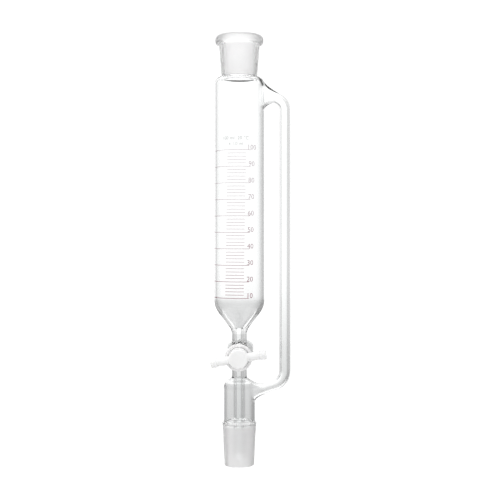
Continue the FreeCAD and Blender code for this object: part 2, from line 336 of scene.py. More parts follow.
class Turned:
    """A line turned about an axis into a grid, with a patch for each tube that leaves it."""

    def __init__(self, shell, line, axis=UPRIGHT, columns=128, ports=(), shape=None, slot_at=None):
        self.shell = shell
        self.line = line
        self.axis = axis
        self.shape = shape
        self.angles = [-math.pi / 2 + 2 * math.pi * i / columns for i in range(columns)]
        self.lengths = lengths_along(line)
        slot_at = slot_at or (lambda h: 0)
        holes = [self.hole(port, columns) for port in ports]
        grid = []
        for j, (r, h) in enumerate(line):
            row = [None] * columns
            for i, angle in enumerate(self.angles):
                if not any(i0 < i < i1 and j0 < j < j1 for i0, i1, j0, j1 in holes):
                    row[i] = shell.add([self.at(angle, r, h)])[0]
            grid.append(row)
        for j in range(len(line) - 1):
            slot = slot_at((line[j][1] + line[j + 1][1]) / 2)
            for i in range(columns):
                if not any(i0 <= i < i1 and j0 <= j < j1 for i0, i1, j0, j1 in holes):
                    after = (i + 1) % columns
                    shell.face((grid[j][i], grid[j][after], grid[j + 1][after], grid[j + 1][i]), slot)
        self.first, self.last = grid[0], grid[-1]
        for port, hole in zip(ports, holes):
            self.open(port, hole, grid)

    def at(self, angle, r, h):
        """Place at an angle, radius and height, after any change of shape."""
        if self.shape:
            r = self.shape(angle, r, h)
        return self.axis.point(angle, r, h)

    def on_line(self, angle, length):
        """Point of the surface at an angle and a length along its line."""
        r = np.interp(length, self.lengths, self.line[:, 0])
        h = np.interp(length, self.lengths, self.line[:, 1])
        return self.at(angle, r, h)

    def hole(self, port, columns):
        """First and last column and row of a port's patch."""
        middle = round((port.angle + math.pi / 2) / (2 * math.pi) * columns)
        return middle - port.columns, middle + port.columns, port.rows[0], port.rows[1]

    def open(self, port, hole, grid):
        """Fill a hole in the grid with rings that run from its edge to the tube's foot and up the tube."""
        i0, i1, j0, j1 = hole
        edge = [(i, j0) for i in range(i0, i1)] + [(i1, j) for j in range(j0, j1)]
        edge += [(i, j1) for i in range(i1, i0, -1)] + [(i0, j) for j in range(j1, j0, -1)]
        loop = [grid[j][i] for i, j in edge]
        places = np.array([(self.angles[i], self.lengths[j]) for i, j in edge])
        foot_middle, foot_half, foot_width = port.foot
        middle = np.array((port.angle, foot_middle))
        half = np.array((foot_width, foot_half))
        turns = [math.atan2(v, u) for u, v in (places - middle) / half]
        feet = np.array([middle + half * (math.cos(a), math.sin(a)) for a in turns])
        for share in (0.35, 0.7, 1.0):
            spots = places + (feet - places) * share
            after = self.shell.add([self.on_line(*spot) for spot in spots])
            self.shell.bridge(loop, after)
            loop = after
        roots = np.array([self.shell.points[k] for k in loop])
        inward = np.array([unit(self.on_line(*(spot + (middle - spot) * 0.02)) - root)
                           for spot, root in zip(feet, roots)])
        up_line = self.on_line(port.angle, foot_middle + 1) - self.on_line(port.angle, foot_middle - 1)
        side = self.axis.point(port.angle + math.pi / 2, 1, 0) - self.axis.point(0, 0, 0)
        side = unit(side - port.way * (side @ port.way))
        up = np.cross(port.way, side)
        up = up if up @ up_line > 0 else -up
        spokes = np.array([side * math.cos(a) + up * math.sin(a) for a in turns])
        ends = port.centre + spokes * port.radius
        gaps = np.linalg.norm(ends - roots, axis=1)[:, None]
        far = (1 + np.sin(turns))[:, None] / 2
        pulls = port.pull * (1 - far) + port.far_pull * far
        leave = roots + inward * gaps * pulls[:, :1]
        arrive = ends - port.way * gaps * pulls[:, 1:]
        for k in range(1, port.steps + 1):
            t = k / port.steps
            ring = (roots * (1 - t) ** 3 + leave * 3 * t * (1 - t) ** 2
                    + arrive * 3 * t * t * (1 - t) + ends * t ** 3)
            after = self.shell.add(ring)
            self.shell.bridge(loop, after)
            loop = after
        for distance, radius in port.tail:
            after = self.shell.add(port.centre + port.way * distance + spokes * radius)
            self.shell.bridge(loop, after)
            loop = after
        port.end = loop


def joined(shell, outer, inner, outer_ports=(), inner_ports=(), fused=(False, False)):
    """Bridge a wall's two surfaces at both ends and at each port, which is always fused."""
    shell.bridge(outer.first, inner.first, FUSED if fused[0] else 0)
    shell.bridge(outer.last, inner.last, FUSED if fused[1] else 0)
    for out, back in zip(outer_ports, inner_ports):
        shell.bridge(out.end, back.end, FUSED)


# --- Materials ------------------------------------------------------------------------------------------

def new_material(name):
    """A material's node tree and its Principled shader."""
    material = bpy.data.materials.new(name)
    material.use_nodes = True
    tree = material.node_tree
    return material, tree, tree.nodes["Principled BSDF"]


def noise(tree, scale, stretch=(1, 1, 1), detail=2.0):
    """Noise over the object's own coordinates, stretched along some axes."""
    coordinates = tree.nodes.new("ShaderNodeTexCoord")
    mapping = tree.nodes.new("ShaderNodeMapping")
    mapping.inputs["Scale"].default_value = stretch
    texture = tree.nodes.new("ShaderNodeTexNoise")
    texture.inputs["Scale"].default_value = scale
    texture.inputs["Detail"].default_value = detail
    tree.links.new(coordinates.outputs["Object"], mapping.inputs["Vector"])
    tree.links.new(mapping.outputs["Vector"], texture.inputs["Vector"])
    return texture.outputs["Fac"]


def bump(tree, shader, height, distance, strength=1.0):
    """Raise the surface by a height pattern, in metres."""
    node = tree.nodes.new("ShaderNodeBump")
    node.inputs["Distance"].default_value = distance
    node.inputs["Strength"].default_value = strength
    tree.links.new(height, node.inputs["Height"])
    tree.links.new(node.outputs["Normal"], shader.inputs["Normal"])


def ranged(tree, factor, low, high, start=0.3, end=0.7):
    """A factor moved into a range."""
    node = tree.nodes.new("ShaderNodeMapRange")
    node.inputs["From Min"].default_value = start
    node.inputs["From Max"].default_value = end
    node.inputs["To Min"].default_value = low
    node.inputs["To Max"].default_value = high
    tree.links.new(factor, node.inputs["Value"])
    return node.outputs["Result"]


def tinted(tree, shader, factor, low, high):
    """Base colour that moves between two colours with a factor."""
    ramp = tree.nodes.new("ShaderNodeValToRGB")
    ramp.color_ramp.elements[0].position = 0.3
    ramp.color_ramp.elements[1].position = 0.7
    ramp.color_ramp.elements[0].color = (*low, 1)
    ramp.color_ramp.elements[1].color = (*high, 1)
    tree.links.new(factor, ramp.inputs["Fac"])
    tree.links.new(ramp.outputs["Color"], shader.inputs["Base Color"])


def clear_glass():
    """Borosilicate tube: clear, with the faint long waves that drawing leaves in it."""
    material, tree, shader = new_material("clear_glass")
    shader.inputs["Base Color"].default_value = (0.986, 0.991, 0.991, 1)
    shader.inputs["Transmission Weight"].default_value = 1
    shader.inputs["Roughness"].default_value = 0.0
    shader.inputs["IOR"].default_value = GLASS_IOR
    bump(tree, shader, noise(tree, 160, (1, 1, 0.06)), 0.00002, 0.5)
    return material


def satin_glass():
    """The socket's rim: glass that handling has made hazy."""
    material, tree, shader = new_material("satin_glass")
    shader.inputs["Base Color"].default_value = (0.99, 0.993, 0.993, 1)
    shader.inputs["Transmission Weight"].default_value = 1
    shader.inputs["IOR"].default_value = GLASS_IOR
    grain = noise(tree, 1400, detail=3)
    tree.links.new(ranged(tree, grain, 0.32, 0.44), shader.inputs["Roughness"])
    bump(tree, shader, grain, 0.00001, 0.4)
    return material


def ground_glass(name, transmission):
    """Finely ground surface, white with scattered light, that lets a share of the light through."""
    material, tree, shader = new_material(name)
    shader.inputs["Transmission Weight"].default_value = transmission
    shader.inputs["IOR"].default_value = GLASS_IOR
    grain = noise(tree, 2600, detail=3)
    tinted(tree, shader, noise(tree, 220, (1, 1, 2)), (0.96, 0.95, 0.955), (0.995, 0.99, 0.99))
    tree.links.new(ranged(tree, grain, 0.34, 0.5), shader.inputs["Roughness"])
    bump(tree, shader, grain, 0.00003, 0.6)
    return material


def ptfe():
    """Waxy white fluoropolymer, slightly translucent, with fine turning marks."""
    material, tree, shader = new_material("ptfe")
    tinted(tree, shader, noise(tree, 90), (0.75, 0.75, 0.75), (0.79, 0.79, 0.79))
    shader.inputs["Subsurface Weight"].default_value = 0.35
    shader.inputs["Subsurface Radius"].default_value = (0.9, 0.9, 0.85)
    shader.inputs["Subsurface Scale"].default_value = 0.002
    shader.inputs["IOR"].default_value = 1.35
    fine = noise(tree, 900, (1, 1, 1), 3)
    tree.links.new(ranged(tree, fine, 0.3, 0.42), shader.inputs["Roughness"])
    bump(tree, shader, fine, 0.00002, 0.35)
    return material


def nut_plastic():
    """Translucent off-white plastic of the key's nut."""
    material, tree, shader = new_material("nut_plastic")
    tinted(tree, shader, noise(tree, 120), (0.72, 0.73, 0.73), (0.79, 0.795, 0.795))
    shader.inputs["Subsurface Weight"].default_value = 0.5
    shader.inputs["Subsurface Radius"].default_value = (1.0, 1.0, 1.0)
    shader.inputs["Subsurface Scale"].default_value = 0.003
    fine = noise(tree, 700, (1, 1, 1), 3)
    tree.links.new(ranged(tree, fine, 0.32, 0.48), shader.inputs["Roughness"])
    bump(tree, shader, fine, 0.00003, 0.4)
    return material


def silicone():
    """Pale translucent rubber of the O-ring."""
    material, tree, shader = new_material("seal_rubber")
    tinted(tree, shader, noise(tree, 200), (0.66, 0.65, 0.64), (0.74, 0.73, 0.72))
    shader.inputs["Subsurface Weight"].default_value = 0.3
    shader.inputs["Subsurface Scale"].default_value = 0.001
    shader.inputs["Roughness"].default_value = 0.35
    bump(tree, shader, noise(tree, 1200), 0.00002, 0.4)
    return material


def enamel(name, low, high):
    """Fired print: a thin glossy layer with slightly uneven cover."""
    material, tree, shader = new_material(name)
    tinted(tree, shader, noise(tree, 700, (1, 1, 1), 3), low, high)
    shader.inputs["Roughness"].default_value = 0.3
    bump(tree, shader, noise(tree, 1500), 0.00001, 0.5)
    return material


def worn_enamel():
    """The scale's print, worn paler towards the top."""
    material, tree, shader = new_material("scale_enamel")
    coordinates = tree.nodes.new("ShaderNodeTexCoord")
    split = tree.nodes.new("ShaderNodeSeparateXYZ")
    tree.links.new(coordinates.outputs["Object"], split.inputs["Vector"])
    worn = tree.nodes.new("ShaderNodeMath")
    worn.operation = "MULTIPLY_ADD"
    worn.inputs[1].default_value = 0.25
    tree.links.new(noise(tree, 700, detail=3), worn.inputs[0])
    tree.links.new(ranged(tree, split.outputs["Z"], 0.175, 0.575, 0.118, 0.205), worn.inputs[2])
    tinted(tree, shader, worn.outputs["Value"], (0.24, 0.08, 0.11), (0.51, 0.45, 0.475))
    shader.inputs["Roughness"].default_value = 0.3
    bump(tree, shader, noise(tree, 1500), 0.00001, 0.5)
    return material


CLEAR = clear_glass()
SATIN = satin_glass()
GROUND = ground_glass("ground_glass", 0.8)
GROUND_FACE = ground_glass("ground_face", 0.3)
PTFE = ptfe()
NUT_PLASTIC = nut_plastic()
SILICONE = silicone()
SCALE_ENAMEL = worn_enamel()
PALE_ENAMEL = enamel("pale_enamel", (0.42, 0.43, 0.42), (0.49, 0.50, 0.49))


# --- Glass ----------------------------------------------------------------------------------------------

def socket_joint():
    """Socket with a thick, satin rim. Its inside is ground from the rim down over the joint's length."""
    shell = Shell()
    rim_base_z = RIM_Z - RIM_HEIGHT
    ground_low_z = RIM_Z - JOINT_LENGTH
    outer = Turned(shell, line_through([
        (SOCKET_BASE_R + NECK_SLOPE, NECK_Z, 0, 1),
        (SOCKET_BASE_R, NECK_Z + NECK_SLOPE, 0.4, 16),
        (SOCKET_TOP_R, rim_base_z - RIM_NECK, 2.0, 1),
        (RIM_R, rim_base_z, RIM_ROUNDING, 1),
        (RIM_R, RIM_Z, RIM_ROUNDING, 4),
        (JOINT_LARGE_R + RIM_MOUTH, RIM_Z, 0, 1),
    ])[0], slot_at=lambda z: 2 * int(z > rim_base_z - 1.0))
    inner = Turned(shell, line_through([
        (JOINT_SMALL_R, NECK_Z, 0, 1),
        (JOINT_SMALL_R, ground_low_z, 0, 24),
        (JOINT_LARGE_R - 0.05, RIM_Z - 1.0, 0.5, 3),
        (JOINT_LARGE_R + RIM_MOUTH, RIM_Z - 0.02, 0, 1),
    ])[0], slot_at=lambda z: int(z > ground_low_z))
    joined(shell, outer, inner, fused=(True, False))
    glasses = [CLEAR, GROUND, SATIN]
    return shell.made("socket_joint_glass", "glassware", glasses, ["socket_joint"])


def arm_seams():
    """Centre and outward direction of the side arm's two seams."""
    top_way = np.array((math.cos(ARM_TOP_FALL), 0, -math.sin(ARM_TOP_FALL)))
    foot_way = np.array((math.cos(ARM_FOOT_FALL), 0, math.sin(ARM_FOOT_FALL)))
    foot_turn = math.pi / 2 - ARM_FOOT_FALL
    top_corner = np.array((ARM_X, 0, ARM_TOP_CORNER_Z))
    foot_corner = np.array((ARM_X, 0, ARM_FOOT_BEND_Z - ARM_FOOT_BEND_R * math.tan(foot_turn / 2)))
    top = top_corner - top_way * (ARM_X - ARM_TOP_SEAM_X) / top_way[0]
    foot = foot_corner - foot_way * (ARM_X - ARM_FOOT_SEAM_X) / foot_way[0]
    return (top, top_way, top_corner), (foot, foot_way, foot_corner)


def reservoir():
    """Graduated cylinder, with a flared port for the side arm on its shoulder."""
    (seam, way, _), _ = arm_seams()
    shell = Shell()
    inner_r = RESERVOIR_R - RESERVOIR_WALL
    port_low_z = 252.0
    outer_line, outer_marks = line_through([
        (STEM_R, STEM_TOP_Z, 0, 2),
        (STEM_R, FLOOR_THROAT_Z, FLOOR_THROAT_ROUNDING, 8),
        (RESERVOIR_R, FLOOR_EDGE_Z, FLOOR_EDGE_ROUNDING, 60),
        (RESERVOIR_R, port_low_z, 0, 20),
        (RESERVOIR_R, SHOULDER_EDGE_Z, SHOULDER_ROUNDING, 3),
        (SOCKET_BASE_R + 2 * NECK_SLOPE, NECK_Z - NECK_SLOPE, 0.2, 1),
        (SOCKET_BASE_R + NECK_SLOPE, NECK_Z, 0, 1),
    ])
    inner_line, inner_marks = line_through([
        (STEM_BORE_R, STEM_TOP_Z, 0, 2),
        (STEM_BORE_R, FLOOR_INNER_THROAT_Z, 1.2, 10),
        (inner_r, FLOOR_EDGE_Z + 0.9, FLOOR_EDGE_ROUNDING - RESERVOIR_WALL, 60),
        (inner_r, port_low_z, 0, 20),
        (inner_r, SHOULDER_EDGE_Z - 1.5, SHOULDER_ROUNDING - RESERVOIR_WALL, 3),
        (JOINT_SMALL_R, NECK_Z - 1.7, 0.3, 2),
        (JOINT_SMALL_R, NECK_Z, 0, 1),
    ])
    surfaces, ports = [], []
    rows = outer_marks[-2] - outer_marks[-4]
    # Each wall's tube radius, its foot's lowest height, how far the foot's top stays from the patch's last
    # row, its half width in radians, and the pulls of its lower and its upper side.
    for line, marks, radius, foot_low, foot_high, width, pull, far_pull in (
        (outer_line, outer_marks, ARM_R, 256.6, -5.0, 0.40, (0.34, 0.16), (0.3, 0.16)),
        (inner_line, inner_marks, ARM_BORE_R, 257.6, -6.5, 0.36, (0.34, 0.16), (0.3, 0.16)),
    ):
        lengths = lengths_along(line)
        first = marks[-4]
        low = lengths[first] + foot_low - port_low_z
        high = lengths[first + rows] + foot_high
        foot = ((low + high) / 2, (high - low) / 2, width)
        port = Port(0, 12, (first, first + rows), foot, (seam, way, radius), pull, far_pull)
        surfaces.append(Turned(shell, line, ports=[port]))
        ports.append(port)
    joined(shell, surfaces[0], surfaces[1], ports[:1], ports[1:], (True, True))
    return shell.made("reservoir_glass", "glassware", [CLEAR], ["reservoir"])


def drip_chamber():
    """Tube and dome round the drip tube, with a port for the side arm."""
    _, (seam, way, _) = arm_seams()
    shell = Shell()
    inner_r = CHAMBER_R - CHAMBER_WALL
    port_low_z = 43.0
    outer_line, outer_marks = line_through([
        (CHAMBER_R, COLLAR_TOP_Z, 0, 6),
        (CHAMBER_R, port_low_z, 0, 12),
        (CHAMBER_R, RING_SEAL_Z - 4.8, 6.0, 4),
        (STEM_R, RING_SEAL_Z - 0.8, 1.1, 1),
        (STEM_R, RING_SEAL_Z, 0, 1),
    ])
    inner_line, inner_marks = line_through([
        (inner_r, COLLAR_TOP_Z, 0, 6),
        (inner_r, port_low_z, 0, 12),
        (inner_r, RING_SEAL_Z - 5.4, 3.6, 5),
        (DRIP_R, RING_SEAL_Z - RING_SEAL_DEPTH, 0, 1),
    ])
    surfaces, ports = [], []
    rows = outer_marks[3] - 1 - outer_marks[1]
    # The same numbers as for the reservoir's port, with one pair of pulls all round.
    for line, marks, radius, foot_low, foot_high, width, pull in (
        (outer_line, outer_marks, ARM_R, 45.6, -0.8, 0.62, (0.3, 0.24)),
        (inner_line, inner_marks, ARM_BORE_R, 46.6, -0.8, 0.56, (0.3, 0.24)),
    ):
        lengths = lengths_along(line)
        first = marks[1]
        low = lengths[first] + foot_low - port_low_z
        high = lengths[first + rows] + foot_high
        foot = ((low + high) / 2, (high - low) / 2, width)
        port = Port(0, 15, (first, first + rows), foot, (seam, way, radius), pull)
        surfaces.append(Turned(shell, line, ports=[port]))
        ports.append(port)
    joined(shell, surfaces[0], surfaces[1], ports[:1], ports[1:], (True, True))
    return shell.made("drip_chamber_glass", "glassware", [CLEAR], ["drip_chamber"])


def stopcock_barrel():
    """Barrel across the stem, with its taper and end faces ground. The stem's bore opens into it twice."""
    shell = Shell()
    front, back = BARREL_LOW[1], BARREL_HIGH[1]
    outer_line, _ = line_through([
        (KEY_FRONT_R + 0.4, front, 0, 2),
        (BARREL_FRONT_R, front, BARREL_EDGE, 30),
        (BARREL_BACK_R, back, BARREL_EDGE, 2),
        (KEY_FRONT_R - KEY_SLOPE * (back - front) + 0.4, back, 0, 1),
    ])
    inner_line, _ = line_through([
        (KEY_FRONT_R + 0.2, front, 0, 1),
        (KEY_FRONT_R - KEY_SLOPE * 0.4, front + 0.4, 0, 40),
        (KEY_FRONT_R - KEY_SLOPE * (back - front), back, 0, 1),
    ])
    surfaces, ports = [], []
    for line, radius, half, pull, reach in (
        (outer_line, STEM_R, STEM_R + STEM_FOOT, (0.3, 0.3), STEM_FOOT_REACH),
        (inner_line, STEM_BORE_R, STEM_BORE_R, (0, 0), 8.0),
    ):
        lengths = lengths_along(line)
        middle = np.interp(0, line[:, 1], lengths)
        wall_r = np.interp(0, line[:, 1], line[:, 0])
        centre_row = int(np.argmin(abs(line[:, 1])))
        sides = []
        for angle, sign, end_z in ((0, 1, STEM_TOP_Z), (math.pi, -1, RING_SEAL_Z)):
            length = abs(end_z - STOPCOCK_CENTRE[2])
            ring = (STOPCOCK_CENTRE + (0, 0, sign * reach), (0, 0, sign), radius)
            foot = (middle, half, math.asin(min(0.95, half / wall_r)))
            rows = (centre_row - 11, centre_row + 11)
            tail = [(share * (length - reach), radius) for share in (0.25, 0.5, 0.75, 1)]
            sides.append(Port(angle, 17, rows, foot, ring, pull, tail=tail))
        def slot_at(y, line=line):
            if y < front + BARREL_FACE or y > back - BARREL_FACE:
                return 2
            return int(line is inner_line)

        surfaces.append(Turned(shell, line, ACROSS, ports=sides, slot_at=slot_at))
        ports.append(sides)
    joined(shell, surfaces[0], surfaces[1], ports[0], ports[1])
    glasses = [CLEAR, GROUND, GROUND_FACE]
    return shell.made("stopcock_barrel_glass", "glassware", glasses, ["stopcock_barrel"])


def drip_tube():
    """Narrow tube drawn in at its tip. Its outside ends where the chamber's dome meets it."""
    shell = Shell()
    tip_z, top_z = DRIP_LOW[2], DRIP_HIGH[2]
    outer = Turned(shell, line_through([
        (STEM_BORE_R + 0.5, tip_z, 0, 1),
        (DRIP_R - 1.0, tip_z, 0.3, 6),
        (DRIP_R, tip_z + 6.0, 3.0, 40),
        (DRIP_R, top_z - RING_SEAL_DEPTH, 0, 1),
    ])[0])
    inner = Turned(shell, line_through([
        (STEM_BORE_R, tip_z + 0.3, 0, 46),
        (STEM_BORE_R, top_z, 0, 1),
    ])[0])
    joined(shell, outer, inner, fused=(False, True))
    return shell.made("drip_tube_glass", "glassware", [CLEAR], ["drip_tube"])


def cone_joint():
    """Ground cone with a clear collar above the ground zone."""
    shell = Shell()
    outer = Turned(shell, line_through([
        (JOINT_SMALL_R - 0.9, 0, 0, 1),
        (JOINT_SMALL_R, 0, 0.4, 36),
        (JOINT_LARGE_R, JOINT_LENGTH, 0, 1),
        (COLLAR_R, JOINT_LENGTH + 0.5, 0.3, 2),
        (COLLAR_R, JOINT_LENGTH + 1.6, 0.8, 3),
        (CHAMBER_R, COLLAR_TOP_Z, 0, 1),
    ])[0], slot_at=lambda z: int(0.4 < z < JOINT_LENGTH))
    inner = Turned(shell, line_through([
        (JOINT_SMALL_R - CONE_WALL, 0.3, 0, 30),
        (CHAMBER_R - CHAMBER_WALL, COLLAR_TOP_Z, 0, 1),
    ])[0])
    joined(shell, outer, inner, fused=(False, True))
    return shell.made("cone_joint_glass", "glassware", [CLEAR, GROUND], ["cone_joint"])


def side_arm():
    """Bent tube between the two ports."""
    (top, top_way, top_corner), (foot, foot_way, foot_corner) = arm_seams()
    path = [top]
    flat = np.array((1, 0, 1), bool)
    for before, corner, after, radius in (
        (top, top_corner, foot_corner, ARM_TOP_BEND_R),
        (top_corner, foot_corner, foot, ARM_FOOT_BEND_R),
    ):
        bend = rounded_corner(before[flat], corner[flat], after[flat], radius)
        path += [np.array((x, 0, z)) for x, z in bend]
    path.append(foot)
    centres = [path[0]]
    for before, after in zip(path, path[1:]):
        steps = max(1, round(np.linalg.norm(after - before) / 2.5))
        centres += [before + (after - before) * k / steps for k in range(1, steps + 1)]
    ways = np.gradient(np.array(centres), axis=0)
    ways[0], ways[-1] = top_way, -foot_way
    shell = Shell()
    side = np.array((0, 1, 0))
    turns = [2 * math.pi * k / 64 for k in range(64)]
    walls = []
    for radius in (ARM_R, ARM_BORE_R):
        rings = []
        for centre, way in zip(centres, ways):
            up = np.cross(unit(way), side)
            spokes = [side * math.cos(a) + up * math.sin(a) for a in turns]
            rings.append(shell.add([centre + radius * spoke for spoke in spokes]))
        for first, second in zip(rings, rings[1:]):
            shell.bridge(first, second)
        walls.append(rings)
    shell.bridge(walls[0][0], walls[1][0], FUSED)
    shell.bridge(walls[0][-1], walls[1][-1], FUSED)
    return shell.made("side_arm_glass", "glassware", [CLEAR], ["side_arm"])


# --- Stopcock key, seals and nut ------------------------------------------------------------------------

def thread_groove(angle, y):
    """Depth of the thread's groove at a place round the key's tail, from 0 on its crest."""
    phase = y / THREAD_PITCH - angle / (2 * math.pi)
    return THREAD_DEPTH * (0.5 - 0.5 * math.cos(2 * math.pi * phase)) ** 0.8


def faded(y, low, high, run=0.9):
    """1 between two places on the tail, falling to 0 at both."""
    return min(max(min(y - low, high - y) / run, 0), 1)


def key_radius(y):
    """Radius of the key's taper at a place along the barrel."""
    return KEY_FRONT_R - KEY_CLEARANCE - KEY_SLOPE * (y - BARREL_LOW[1])


def stopcock_key():
    """Key in one moulding: hub with two handle arms, tapered plug with its cross bore, threaded tail."""
    shell = Shell()
    handle_way = (math.cos(HANDLE_TILT), 0, math.sin(HANDLE_TILT))
    axis = Axis(STOPCOCK_CENTRE, (0, 1, 0), handle_way)
    front, tail_end = KEY_LOW[1], KEY_HIGH[1]
    line, marks = line_through([
        (0.5, front, 0, 8),
        (HUB_R, front, 1.0, 18),
        (HUB_R, HUB_BACK_Y, 0, 1),
        (key_radius(HUB_BACK_Y), HUB_BACK_Y, 0, 16),
        (key_radius(-6.0), -6.0, 0, 24),
        (key_radius(6.0), 6.0, 0, 10),
        (key_radius(KEY_SHOULDER_Y), KEY_SHOULDER_Y, 0.3, 1),
        (TAIL_R, KEY_SHOULDER_Y, 0, 88),
        (TAIL_R, tail_end, 0.6, 3),
        (0.5, tail_end, 0, 1),
    ])

    def threaded(angle, r, y):
        if y < KEY_SHOULDER_Y + 0.2:
            return r
        thread_angle = angle + math.pi / 2 - HANDLE_TILT
        groove = thread_groove(thread_angle, y) * faded(y, BARREL_HIGH[1] - 0.5, tail_end + 1)
        return min(r, TAIL_R - groove)

    ports = []
    for angle, sign in ((0, 1), (math.pi, -1)):
        way = np.array(handle_way) * sign
        middle = STOPCOCK_CENTRE + (0, HANDLE_Y, 0)
        grip = HANDLE_HALF - HANDLE_TIP_LENGTH
        lengths = lengths_along(line)
        foot_middle = np.interp(HANDLE_Y, line[:marks[2], 1], lengths[:marks[2]])
        edge_angles = [math.pi / 2 * k / 5 for k in range(6)]
        grip_end = grip - HANDLE_ROOT
        tip_end = HANDLE_HALF - HANDLE_ROOT
        tail = [(grip_end + 0.4, HANDLE_R), (grip_end + 1.0, HANDLE_TIP_R - 0.04)]
        tail += [(grip_end + 1.2, HANDLE_TIP_R)]
        tail += [(tip_end - HANDLE_EDGE * (1 - math.sin(a)),
                  HANDLE_TIP_R - HANDLE_EDGE * (1 - math.cos(a))) for a in edge_angles]
        tail += [(tip_end, HANDLE_TIP_R - HANDLE_EDGE - 0.4)]
        tail += [(tip_end - 0.25, r) for r in (HANDLE_TIP_R - HANDLE_EDGE - 0.7, 0.3)]
        foot_half = HANDLE_R + HANDLE_FOOT
        foot = (foot_middle, foot_half, math.asin(foot_half / HUB_R))
        ring = (middle + way * HANDLE_ROOT, way, HANDLE_R)
        ports.append(Port(angle, 13, (marks[1] + 1, marks[2] - 1), foot, ring, (0.25, 0.3), None, 5, tail))
    for angle, sign in ((0, 1), (math.pi, -1)):
        way = np.array(handle_way) * sign
        lengths = lengths_along(line)
        bore_middle = np.interp(0, line[marks[3]:marks[6], 1], lengths[marks[3]:marks[6]])
        wall_r = key_radius(0)
        foot = (bore_middle, KEY_BORE_R, math.asin(KEY_BORE_R / wall_r))
        ring = (STOPCOCK_CENTRE + way * 1.5, way, KEY_BORE_R)
        ports.append(Port(angle, 13, (marks[4] + 2, marks[5] - 2), foot, ring, (0, 0), None, 4))
    key = Turned(shell, line, axis, 128, ports, threaded)
    shell.cap(key.first)
    shell.cap(key.last)
    shell.cap(ports[0].end)
    shell.cap(ports[1].end)
    near, far = ports[2].end, ports[3].end
    spots = np.array([shell.points[k] for k in far])
    matched = []
    for k in near:
        offset = spots - shell.points[k]
        offset -= np.outer(offset @ np.array(handle_way), handle_way)
        matched.append(far[int(np.argmin(np.linalg.norm(offset, axis=1)))])
    shell.bridge(near, matched)
    return shell.made("stopcock_key_ptfe", "key", [PTFE], ["stopcock_key"], 30)


def seal_washer():
    """Flat PTFE washer with eased edges."""
    shell = Shell()
    front, back = WASHER_LOW[1], WASHER_HIGH[1]
    hole_r = TAIL_R + TAIL_CLEARANCE
    outer_r = WASHER_HIGH[0]
    outer = Turned(shell, line_through([
        (hole_r + 1, front, 0, 4),
        (outer_r, front, 0.2, 1),
        (outer_r, back, 0.2, 4),
        (hole_r + 1, back, 0, 1),
    ])[0], ACROSS, 96)
    inner = Turned(shell, line_through([
        (hole_r + 0.2, front, 0.0, 1),
        (hole_r, front + 0.2, 0, 2),
        (hole_r, back - 0.2, 0, 1),
        (hole_r + 0.2, back, 0.0, 1),
    ])[0], ACROSS, 96)
    joined(shell, outer, inner)
    return shell.made("seal_washer_ptfe", "seals", [PTFE], ["seal_washer"], 30)


def seal_o_ring():
    """Rubber ring, with the fine flash line that its mould leaves."""
    shell = Shell()
    section_r = (O_RING_HIGH[1] - O_RING_LOW[1]) / 2
    middle_y = (O_RING_HIGH[1] + O_RING_LOW[1]) / 2
    ring_r = O_RING_HIGH[0] - section_r
    halves = []
    for first_angle in (-80, 100):
        sweep = [math.radians(first_angle + 160 * k / 16) for k in range(17)]
        sweep = sweep if first_angle < 0 else sweep[::-1]
        halves.append(Turned(shell, np.array([
            (ring_r + section_r * math.cos(a), middle_y + section_r * math.sin(a)) for a in sweep
        ]), ACROSS, 96))
    joined(shell, *halves)
    return shell.made("seal_o_ring_rubber", "seals", [SILICONE], ["seal_o_ring"], 60)


def key_nut():
    """Six-sided nut with its corners turned off, threaded to follow the key's tail."""
    shell = Shell()
    corner_way = (math.cos(NUT_CORNER_FALL), 0, -math.sin(NUT_CORNER_FALL))
    axis = Axis(STOPCOCK_CENTRE, (0, 1, 0), corner_way)
    front, back = NUT_LOW[1], NUT_HIGH[1]
    hole_r = TAIL_R + TAIL_CLEARANCE

    def six_sided(angle, r, y):
        turn = (angle % (math.pi / 3)) - math.pi / 6
        return min(r, NUT_ACROSS_FLATS / 2 / math.cos(turn))

    def threaded(angle, r, y):
        world_angle = angle + math.pi / 2 + NUT_CORNER_FALL
        crest = TAIL_R + 0.1 - thread_groove(world_angle, y)
        return r + (crest - r) * faded(y, front + 0.1, back - 0.1)

    outer = Turned(shell, line_through([
        (hole_r + 0.8, front, 0, 5),
        (NUT_CHAMFER_R - 1.0, front, 0, 3),
        (NUT_CHAMFER_R, front + 1.0, 0, 8),
        (NUT_CHAMFER_R, back - 1.0, 0.6, 3),
        (NUT_CHAMFER_R - 1.4, back, 0.6, 5),
        (hole_r + 0.8, back, 0, 1),
    ])[0], axis, 144, shape=six_sided)
    inner = Turned(shell, line_through([
        (hole_r + 0.3, front, 0, 1),
        (hole_r, front + 0.3, 0, 56),
        (hole_r, back - 0.3, 0, 1),
        (hole_r + 0.3, back, 0, 1),
    ])[0], axis, 144, shape=threaded)
    joined(shell, outer, inner)
    return shell.made("key_nut_plastic", "nut", [NUT_PLASTIC], ["key_nut"], 25)


# --- Fired print ----------------------------------------------------------------------------------------

def on_reservoir(u, v, lift):
    """Place of the transfer's point (u right, v up from its middle) on the reservoir's outside."""
    angle = (u + v * math.tan(PRINT_LEAN)) / RESERVOIR_R - math.pi / 2
    return UPRIGHT.point(angle, RESERVOIR_R + lift, PRINT_MIDDLE_Z + v - u * math.tan(PRINT_TILT))


